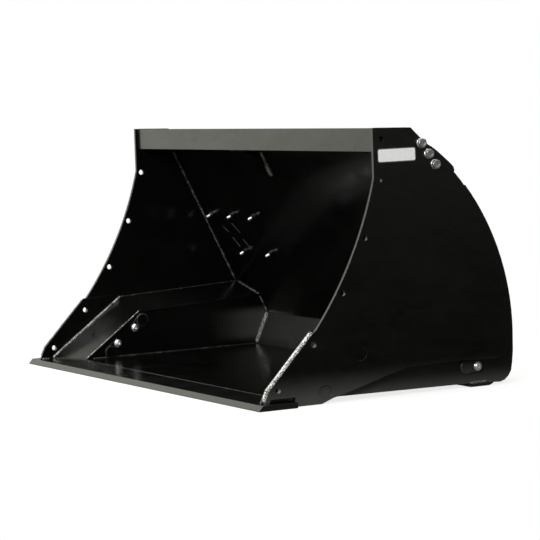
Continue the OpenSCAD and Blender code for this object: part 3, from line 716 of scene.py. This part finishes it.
# ------------------------------------------------------------------ welds of the rear frame
for s, side in ((-1, "left"), (1, "right")):
    bm = bmesh.new()
    bead(bm, [(975 * s, 850, 12), (975 * s, 944, 12)], (s, 0, 0), (0, 0, 1), leg=8, pitch=9, amp=0.24, seed=61 + s, bulge=0.3)
    new_object(f"weld_shoe_{side}", bm, "rear_frame", MAT["weld"])
    bm = bmesh.new()
    # shoe to inner arm, crossbeams to inner arm, webs, cap
    bead(bm, [(842 * s, 968, 14), (842 * s, 1012, 14)], (-s, 0, 0), (0, 0, -1), leg=2, seed=62 + s, sunk=0.3)
    bead(bm, [(842 * s, 968, 72), (842 * s, 1010, 72)], (-s, 0, 0), (0, 0, 1), leg=6, seed=63 + s)
    bead(bm, [(842 * s, 1012, 18), (842 * s, 1012, 70)], (-s, 0, 0), (0, 1, 0), leg=5, seed=64 + s)
    bead(bm, [(842 * s, 796, 680), (842 * s, 864, 680)], (-s, 0, 0), (0, 0, 1), leg=6, seed=65 + s)
    bead(bm, [(842 * s, 868, 610), (842 * s, 868, 676)], (-s, 0, 0), (0, 1, 0), leg=6, seed=66 + s)
    arc = [(176.5 + 854.6 * math.cos(t * D2R), 196.7 + 854.6 * math.sin(t * D2R)) for t in (-6.5, -3, 1, 5, 9, 13, 17, 21, 25)]
    for x, way, sd in ((960, -s, 67), (854, s, 68)):
        bead(bm, [(x * s, *q) for q in arc], (way, 0, 0), (0, 1, 0.12), leg=6, seed=sd + s)
    bead(bm, [(975 * s, yo(722) + 26, 722), (975 * s, 808, 722)], (-s, 0, 0), (0, 0, 1), leg=2, seed=69 + s) if False else None
    # pivot tube to both arm plates, cylinder side of the arms
    circle_bead(bm, (854 * s, A[0], A[1]), (s, 0, 0), (0, 1, 0), (0, 0, 1), 34, 2.6, sunk=0.3, seed=70)
    new_object(f"weld_frame_{side}", bm, "rear_frame", MAT["weld"])

bm = bmesh.new()
for x in (-558, -250, 250, 558):
    for sx in (-1, 1):
        xx = x + 6 * sx
        top, bot = qa(0, -12, 412), qa(0, -12, 20)
        bead(bm, [(xx, bot[1], bot[2]), (xx, top[1], top[2])], (sx, 0, 0), (0, -math.cos(QA), -math.sin(QA)), leg=7, step=2.8, m=5, seed=80 + x * 0.01 + sx)
        bead(bm, [(xx, 806, 606), (xx, 866, 606)], (sx, 0, 0), (0, 0, -1), leg=6, step=2.8, m=5, seed=81 + x * 0.01)
        bead(bm, [(xx, 976, 72), (xx, 1010, 72)], (sx, 0, 0), (0, 0, 1), leg=6, step=2.8, m=5, seed=82 + x * 0.01)
        bead(bm, [(xx, 868, 608), (xx, 868, 632)], (sx, 0, 0), (0, 1, 0), leg=6, step=2.8, m=5, seed=83 + x * 0.01)
new_object("weld_ribs", bm, "rear_frame", MAT["weld"])
bm = bmesh.new()
up_q, back_q = Vector((0, -math.sin(QA), math.cos(QA))), Vector((0, math.cos(QA), math.sin(QA)))
bead(bm, [qa(-566, 0, 14), qa(566, 0, 14)], up_q, back_q, leg=7, step=3, m=5, seed=90)
bead(bm, [qa(-566, -12, 0), qa(566, -12, 0)], -back_q, -up_q, leg=2, step=3, m=4, seed=91, sunk=0.3)
bead(bm, [qa(-566, 0, 399), qa(566, 0, 399)], -up_q, back_q * 0.7 - up_q * 0.7, leg=4, step=3, m=4, seed=92) if False else None
new_object("weld_quick_attach", bm, "rear_frame", MAT["weld_dark"])

# ------------------------------------------------------------------ cylinders: beads, gland detail, wiper
for s, side in ((-1, "left"), (1, "right")):
    ux = Vector((0, -math.cos(CA), math.sin(CA)))       # base pin to rod pin
    uy = Vector((0, math.sin(CA), math.cos(CA)))
    c0 = Vector((907 * s, C[0], C[1]))
    ex = Vector((1, 0, 0))
    bm = bmesh.new()
    for z in (62, 368):
        circle_bead(bm, c0 + ux * z + uy * 34, uy, ex, ux, 12, 4, seed=100 + z)
    circle_bead(bm, c0 + ux * 35.5, ux, ex, uy, 33.5, 4.5, seed=103)
    new_object(f"weld_barrel_{side}", bm, f"cylinder_{side}", MAT["weld_dark"])
    bm = bmesh.new()
    lathe(bm, [(17.0, 399.5), (23.5, 399.5), (23.5, 402.6), (21.5, 404.4), (18.4, 404.4), (17.0, 401.8), (17.0, 399.5)], c0, ux, ex, 48)
    for k in range(4):          # spanner slots' raised lands
        t = math.pi / 4 + k * math.pi / 2
        e = ex * math.cos(t) + uy * math.sin(t)
        lathe(bm, [(0, 399.4), (4.6, 399.4), (4.6, 400.2), (4.0, 400.9), (2.6, 400.9), (2.2, 400.3), (0, 400.3)], c0 + e * 30.5, ux, ex, 20)
    new_object(f"wiper_{side}", bm, f"cylinder_{side}", MAT["rubber"])
    bm = bmesh.new()
    circle_bead(bm, c0 + ux * (CL - 33), -ux, ex, uy, 16, 5, seed=106)
    new_object(f"weld_rod_{side}", bm, f"piston_rod_{side}", MAT["weld_dark"])

# ------------------------------------------------------------------ fasteners
def keeper(name, pts, body, node, x_face, sign):
    bm = bmesh.new()
    for s in (-1, 1):
        for q in pts:
            ax = Vector((sign * s, 0, 0))
            e1 = Vector((0, math.cos(q[0]), math.sin(q[0])))
            washer(bm, (x_face * s, q[0], q[1]), ax, e1, 8.3, 16.4, 1.6)
            button_head(bm, (x_face * s + ax.x * 1.6, q[0], q[1]), ax, e1, 14.2, 8.6, 10.0)
    ob = new_object(name, bm, body, MAT["zinc"], 30)
    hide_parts(node)


keeper("pin_keeper_bolts_fine", [KA, KP], "bucket", "pin_keeper_bolts", 822, -1)
keeper("base_pin_bolts_fine", [KC], "rear_frame", "base_pin_bolts", 980, 1)

bm = bmesh.new()
for s in (-1, 1):
    for h in SB:
        ax = Vector((s, 0, 0))
        e1 = Vector((0, math.cos(h[0]), math.sin(h[0])))
        washer(bm, (1000 * s, h[0], h[1]), ax, e1, 10.3, 17.6, 3)
        hex_head(bm, (1003 * s, h[0], h[1]), ax, e1, 30, 12.5, dish=0.7)
ob = new_object("stop_bolts_fine", bm, "bucket", MAT["zinc"], 28)
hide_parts("stop_bolts")
bm = bmesh.new()
for s in (-1, 1):
    for h in SB:
        ax = Vector((-s, 0, 0))
        e1 = Vector((0, math.cos(h[1]), math.sin(h[1])))
        washer(bm, (976 * s, h[0], h[1]), ax, e1, 10.3, 18.5, 3)
        hex_head(bm, (973 * s, h[0], h[1]), ax, e1, 30, 16, bore=9.2, both=True)
        thread(bm, (973 * s, h[0], h[1]), ax, e1, 9.9, 2.5, 0, 22)
ob = new_object("stop_nuts_fine", bm, "bucket", MAT["zinc"], 28)
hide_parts("stop_nuts")

bm = bmesh.new(); bm2 = bmesh.new()
for s in (-1, 1):
    for x, z in BB:
        o = Vector((x * s, yb(z), z))
        e1 = Vector((1, 0, 0))
        thread(bm, o, NB, e1, 6, 1.75, -2, 28)
        hex_head(bm, o - NB * 18.05, -NB, e1, 18, 7.5, turn=x)
        washer(bm2, o, NB, e1, 6.4, 12.2, 2.2)
        hex_head(bm2, o + NB * 2.2, NB, e1, 18.4, 10.6, bore=5.6, both=True, turn=x * 1.7)
ob = new_object("buffer_bolts_fine", bm, "bucket", MAT["zinc"], 28)
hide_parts("buffer_bolts")
ob = new_object("buffer_nuts_fine", bm2, "bucket", MAT["nut"], 28)
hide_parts("buffer_nuts")

# ------------------------------------------------------------------ plain label in place of the maker's
def label(name, cy, cz, w, h, rad, x, t, mat, sx=1):
    bm = bmesh.new()
    out = []
    for (qx, qz, a0) in ((1, 1, 0), (-1, 1, 90), (-1, -1, 180), (1, -1, 270)):
        for k in range(7):
            a = (a0 + 15 * k) * D2R
            out.append((cy + qx * (w / 2 - rad) + rad * math.cos(a), cz + qz * (h / 2 - rad) + rad * math.sin(a)))
    lo = [bm.verts.new(P(x * sx, *q)) for q in out]
    hi = [bm.verts.new(P((x + t) * sx, *q)) for q in out]
    n = len(out)
    bm.faces.new(lo); bm.faces.new(list(reversed(hi)))
    for k in range(n):
        bm.faces.new((lo[k], hi[k], hi[(k + 1) % n], lo[(k + 1) % n]))
    return new_object(name, bm, "bucket", mat)


label("label_line", 571, 842, 154, 49, 9, 1000.0, 0.25, MAT["label_edge"])
label("label_film", 571, 842, 148, 43, 6.5, 1000.2, 0.25, MAT["label"])

# ------------------------------------------------------------------ studio
def area(name, loc, size, energy, target=(0, 0, 0.4), color=(1, 1, 1)):
    ld = bpy.data.lights.new(name, "AREA")
    ld.shape = "RECTANGLE"
    ld.size, ld.size_y = size
    ld.energy = energy
    ld.color = color
    ob = bpy.data.objects.new(name, ld)
    scene.collection.objects.link(ob)
    ob.location = loc
    ob.rotation_euler = (Vector(target) - Vector(loc)).to_track_quat("-Z", "Y").to_euler()
    return ob


area("softbox_front", (-2.6, -5.2, 3.6), (3.6, 2.6), 260)
area("softbox_top", (0.4, -0.6, 5.2), (4.0, 3.0), 260)
area("softbox_right", (4.8, -4.6, 3.4), (2.2, 2.2), 400)

world = bpy.data.worlds.new("studio")
scene.world = world
world.use_nodes = True
wt = world.node_tree
wt.nodes.clear()
def wn(kind, **kw):
    n = wt.nodes.new(kind)
    for k, v in kw.items():
        setattr(n, k, v)
    return n
def wmath(op, a, b=None, c=None):
    n = wn("ShaderNodeMath", operation=op)
    for i, v in enumerate((a, b, c)):
        if v is None:
            continue
        if isinstance(v, (int, float)):
            n.inputs[i].default_value = v
        else:
            wt.links.new(v, n.inputs[i])
    return n.outputs[0]
def wrange(src, a, b, lo, hi):
    n = wn("ShaderNodeMapRange", interpolation_type="SMOOTHSTEP")
    for k, v in (("From Min", a), ("From Max", b), ("To Min", lo), ("To Max", hi)):
        n.inputs[k].default_value = v
    wt.links.new(src, n.inputs["Value"])
    return n.outputs["Result"]
def wdot(v):
    n = wn("ShaderNodeVectorMath", operation="DOT_PRODUCT")
    wt.links.new(wtc.outputs["Generated"], n.inputs[0])
    n.inputs[1].default_value = v
    return n.outputs["Value"]
wtc = wn("ShaderNodeTexCoord")
front = wrange(wdot(Vector((-0.80, -0.60, 0.02)).normalized()), 0.35, 0.80, 0.0, 1.0)
height = wdot((0, 0, 1))
above = wrange(height, 0.25, 0.85, 0.0, 0.55)
horizon = wrange(wmath("ABSOLUTE", height), 0.0, 0.078, 0.34, 0.035)
level = wrange(height, -0.16, -0.03, 0.0, 1.12)
lum = wmath("ADD", wmath("MULTIPLY", front, level), wmath("ADD", above, horizon))
bg_g = wn("ShaderNodeBackground")
wt.links.new(lum, bg_g.inputs["Strength"])
bg_g.inputs["Color"].default_value = (1, 1, 0.89, 1)
bg_c = wn("ShaderNodeBackground")
bg_c.inputs["Color"].default_value = (1, 1, 1, 1)
bg_c.inputs["Strength"].default_value = 1.0
lp = wn("ShaderNodeLightPath")
mixw = wn("ShaderNodeMixShader")
wt.links.new(lp.outputs["Is Camera Ray"], mixw.inputs[0])
wt.links.new(bg_g.outputs[0], mixw.inputs[1])
wt.links.new(bg_c.outputs[0], mixw.inputs[2])
wo = wn("ShaderNodeOutputWorld")
wt.links.new(mixw.outputs[0], wo.inputs[0])

bm = bmesh.new()
bmesh.ops.create_circle(bm, cap_ends=True, segments=96, radius=3.4)
me = bpy.data.meshes.new("floor")
bm.to_mesh(me); bm.free()
floor = bpy.data.objects.new("floor", me)
scene.collection.objects.link(floor)
floor.location = (0, 0, -0.0005)
fm = Mat("floor_paper")
fm.set(Roughness=0.75, Specular_IOR_Level=0.2)
fm.b.inputs["Base Color"].default_value = (0.90, 0.90, 0.895, 1)
fm.to("Normal", fm.bump(fm.noise(160, 3), 0.03, 0.0005))
tr = fm.t.nodes.new("ShaderNodeBsdfTransparent")
mixf = fm.t.nodes.new("ShaderNodeMixShader")
vl = fm.t.nodes.new("ShaderNodeVectorMath"); vl.operation = "LENGTH"
mpf = fm.t.nodes.new("ShaderNodeMapping"); mpf.inputs["Location"].default_value = (-0.085, -0.10, 0.0); mpf.inputs["Scale"].default_value = (0.85, 1.0, 1.0)
fm.t.links.new(fm.tc.outputs["Object"], mpf.inputs["Vector"])
fm.t.links.new(mpf.outputs["Vector"], vl.inputs[0])
fade = fm.range(vl.outputs["Value"], 0.75, 1.25, 0.80, 1.0, "SMOOTHSTEP")
fm.t.links.new(fade, mixf.inputs[0])
fm.t.links.new(fm.b.outputs[0], mixf.inputs[1])
fm.t.links.new(tr.outputs[0], mixf.inputs[2])
fm.t.links.new(mixf.outputs[0], fm.out.inputs[0])
me.materials.append(fm.m)

scene.view_settings.view_transform = "Standard"
scene.view_settings.look = "None"
